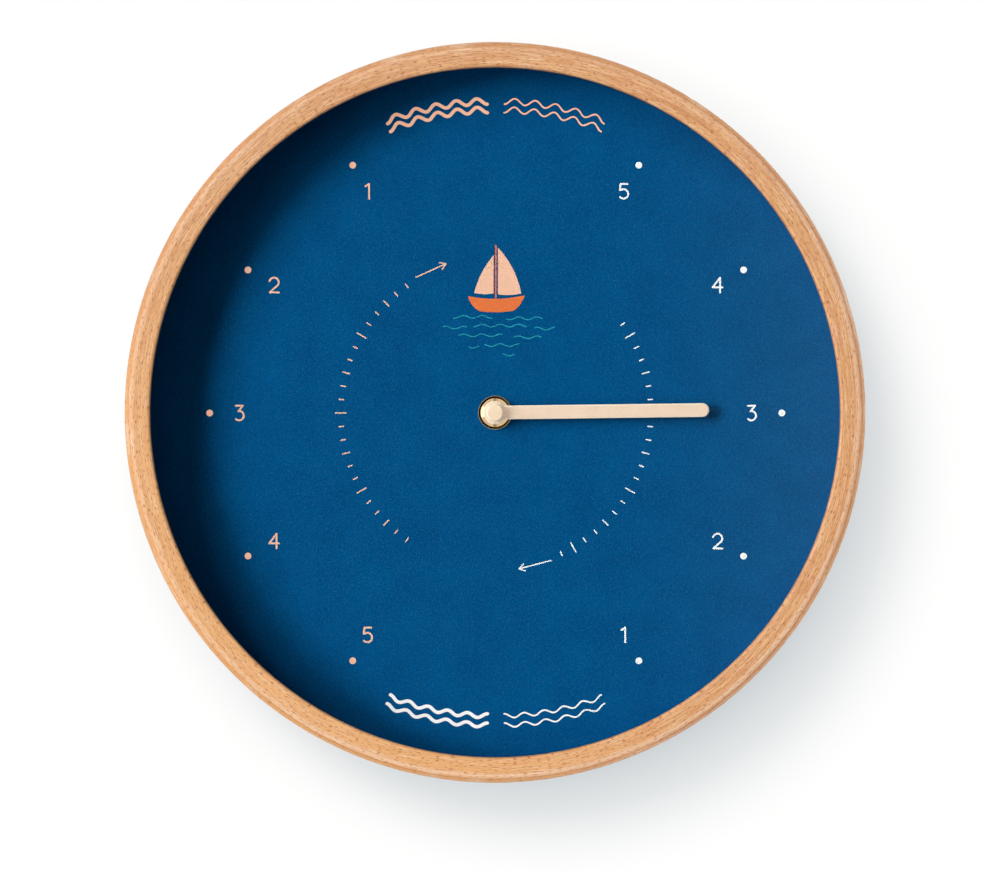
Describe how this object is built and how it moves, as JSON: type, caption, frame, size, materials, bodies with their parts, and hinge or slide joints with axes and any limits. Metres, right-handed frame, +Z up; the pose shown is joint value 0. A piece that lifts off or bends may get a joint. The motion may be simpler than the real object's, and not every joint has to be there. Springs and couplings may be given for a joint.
{
  "type": "wall tide clock",
  "caption": "Round wall tide clock: a beech hoop with a flat glass, a blue dial, one hand turned by a quartz tide movement, and a keyhole hanger behind.",
  "frame": {"origin": "the hand's axis where it meets the wall, in the plane of the hoop's flat back", "axes": "+Z up the dial, +Y into the wall, so the dial faces -Y, +X to the viewer's right"},
  "size_m": [0.3, 0.045, 0.3],
  "materials": {
    "beech": "clear matt lacquer",
    "clear_glass": "polished",
    "navy_plastic": "matt",
    "blue_paper": "printed, matt with a fine grain",
    "fibreboard": "smooth raw fibreboard",
    "plated_steel": "zinc plated",
    "black_rubber": "matt",
    "brass": "turned",
    "cream_paint": "satin paint",
    "black_plastic": "fine moulded texture",
    "white_plastic": "moulded",
    "magnet_grey": "sintered",
    "copper_wire": "enamelled copper",
    "green_laminate": "lacquered",
    "cell_jacket": "printed jacket"
  },
  "bodies": {
    "case": {"wood_frame": "beech", "glass_lens": "clear_glass", "spacer_ring": "navy_plastic", "dial_face": "blue_paper", "dial_board": "fibreboard", "framing_points": "plated_steel", "gasket": "black_rubber", "hanger_bracket": "plated_steel", "dial_washer": "brass", "dial_nut": "brass", "threaded_bushing": "brass", "movement_front_case": "black_plastic", "movement_rear_cover": "black_plastic", "stator": "plated_steel", "coil_core": "plated_steel", "coil_bobbin": "black_plastic", "coil_winding": "copper_wire", "circuit_board": "green_laminate", "quartz_crystal": "plated_steel", "chip_cover": "black_plastic", "positive_contact": "plated_steel", "negative_contact": "plated_steel"},
    "cell": {"battery": "cell_jacket"},
    "hand": {"hour_wheel": "white_plastic", "tide_hand": "cream_paint", "hand_cap": "cream_paint"},
    "setting": {"minute_wheel": "white_plastic", "setting_knob": "black_plastic"},
    "arbor": {"centre_arbor": "plated_steel", "cannon_pinion": "white_plastic", "clutch_spring": "plated_steel"},
    "rotor": {"rotor_pinion": "white_plastic", "rotor_magnet": "magnet_grey"},
    "intermediate": {"intermediate_wheel": "white_plastic"},
    "seconds": {"seconds_wheel": "white_plastic"},
    "third": {"third_wheel": "white_plastic"},
    "centre": {"centre_wheel": "white_plastic"}
  },
  "joints": [
    {"name": "hand_turn", "type": "hinge", "parent": "case", "child": "hand", "pos_m": [0, -0.012, 0], "axis": [0, 1, 0], "continuous": true},
    {"name": "setting_turn", "type": "hinge", "parent": "case", "child": "setting", "pos_m": [0.01044, -0.012, 0.00184], "axis": [0, 1, 0], "continuous": true},
    {"name": "arbor_turn", "type": "hinge", "parent": "case", "child": "arbor", "pos_m": [0, -0.012, 0], "axis": [0, 1, 0], "continuous": true},
    {"name": "rotor_turn", "type": "hinge", "parent": "case", "child": "rotor", "pos_m": [0.00657, -0.012, 0.01706], "axis": [0, 1, 0], "continuous": true},
    {"name": "intermediate_turn", "type": "hinge", "parent": "case", "child": "intermediate", "pos_m": [-0.00032, -0.012, 0.01584], "axis": [0, 1, 0], "continuous": true},
    {"name": "seconds_turn", "type": "hinge", "parent": "case", "child": "seconds", "pos_m": [-0.00685, -0.012, 0.0128], "axis": [0, 1, 0], "continuous": true},
    {"name": "third_turn", "type": "hinge", "parent": "case", "child": "third", "pos_m": [-0.00914, -0.012, 0.00426], "axis": [0, 1, 0], "continuous": true},
    {"name": "centre_turn", "type": "hinge", "parent": "case", "child": "centre", "pos_m": [0, -0.012, 0], "axis": [0, 1, 0], "continuous": true},
    {"name": "cell_lift", "type": "slide", "parent": "case", "child": "cell", "axis": [0, 1, 0], "range_m": [0, 0.02]}
  ],
  "couplings": [
    {"joint": "setting_turn", "follows": "hand_turn", "ratio": -3.6364},
    {"joint": "arbor_turn", "follows": "hand_turn", "ratio": 12.424},
    {"joint": "intermediate_turn", "follows": "rotor_turn", "ratio": -0.16667},
    {"joint": "seconds_turn", "follows": "rotor_turn", "ratio": 0.033333},
    {"joint": "third_turn", "follows": "rotor_turn", "ratio": -0.0044444},
    {"joint": "centre_turn", "follows": "rotor_turn", "ratio": 0.00055556}
  ]
}
